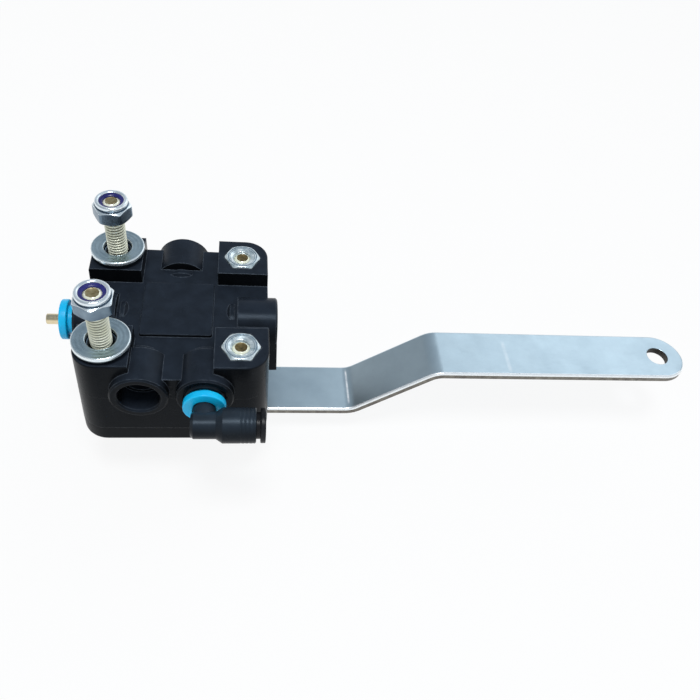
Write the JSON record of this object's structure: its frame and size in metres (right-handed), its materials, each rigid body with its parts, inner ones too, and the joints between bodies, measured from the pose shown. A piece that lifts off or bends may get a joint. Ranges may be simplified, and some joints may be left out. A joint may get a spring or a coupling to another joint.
{
  "type": "leveling valve",
  "caption": "Air suspension leveling valve: black moulded body with push-in ports, mounting studs with lock nuts, plug-in elbow, and a cranked flat lever on its shaft.",
  "frame": {"origin": "centre of the square of four M6 fastener axes, in the plane of the four pad tops", "axes": "+X along the lever, +Z out of the mounting face along the studs, +Y away from the pair of ports"},
  "size_m": [0.2137, 0.0737, 0.0743],
  "materials": {
    "housing_plastic": "moulded glass-filled nylon, satin black",
    "cover_plastic": "moulded glass-filled nylon, satin black",
    "fitting_plastic": "moulded black plastic, satin",
    "collet_blue": "moulded acetal, bright blue",
    "collet_black": "moulded acetal, black",
    "rotor_plastic": "machined acetal, off-white",
    "seat_metal": "lapped stainless steel",
    "rubber_black": "nitrile rubber",
    "nylon_navy": "nylon, navy blue",
    "yellow_zinc": "yellow zinc plate, pale",
    "bright_zinc": "bright zinc plate",
    "lever_steel": "satin zinc plate",
    "shaft_steel": "ground stainless steel",
    "spring_steel": "stainless spring steel",
    "brass": "turned brass",
    "bush_bronze": "sintered bronze"
  },
  "bodies": {
    "housing": {"valve_body": "housing_plastic", "base_cover": "cover_plastic", "cover_seal": "rubber_black", "seat_gasket": "rubber_black", "valve_seat": "seat_metal", "shaft_bush": "bush_bronze", "shaft_seal": "rubber_black", "mounting_bolts": "yellow_zinc", "housing_screws": "yellow_zinc", "captive_nuts": "bright_zinc", "mounting_washers": "bright_zinc", "lock_nuts": "bright_zinc", "lock_nut_inserts": "nylon_navy", "front_cartridge": "fitting_plastic", "front_grab_ring": "spring_steel", "front_tube_seal": "rubber_black", "left_cartridge": "fitting_plastic", "left_grab_ring": "spring_steel", "left_tube_seal": "rubber_black", "port_plug": "brass"},
    "lever": {"lever_arm": "lever_steel", "lever_washer": "bright_zinc", "lever_nut": "bright_zinc", "control_shaft": "shaft_steel", "rotor_disc": "rotor_plastic", "disc_spring": "spring_steel"},
    "elbow": {"elbow_body": "fitting_plastic", "elbow_grab_ring": "spring_steel", "elbow_tube_seal": "rubber_black"},
    "front_release": {"front_collet": "collet_blue"},
    "left_release": {"left_collet": "collet_blue"},
    "elbow_release": {"elbow_collet": "collet_black"}
  },
  "joints": [
    {"name": "lever_swing", "type": "hinge", "parent": "housing", "child": "lever", "pos_m": [0, 0, -0.042], "axis": [0, 0, 1], "range_deg": [-45, 45]},
    {"name": "elbow_swivel", "type": "hinge", "parent": "housing", "child": "elbow", "pos_m": [0.0091, -0.0388, -0.0103], "axis": [0, 1, 0], "continuous": true},
    {"name": "front_collet_press", "type": "slide", "parent": "housing", "child": "front_release", "axis": [0, 1, 0], "range_m": [0, 0.0009], "stiffness_N_per_m": 1500},
    {"name": "left_collet_press", "type": "slide", "parent": "housing", "child": "left_release", "axis": [1, 0, 0], "range_m": [0, 0.0009], "stiffness_N_per_m": 1500},
    {"name": "elbow_collet_press", "type": "slide", "parent": "elbow", "child": "elbow_release", "axis": [-1, 0, 0], "range_m": [0, 0.0009], "stiffness_N_per_m": 1500}
  ]
}
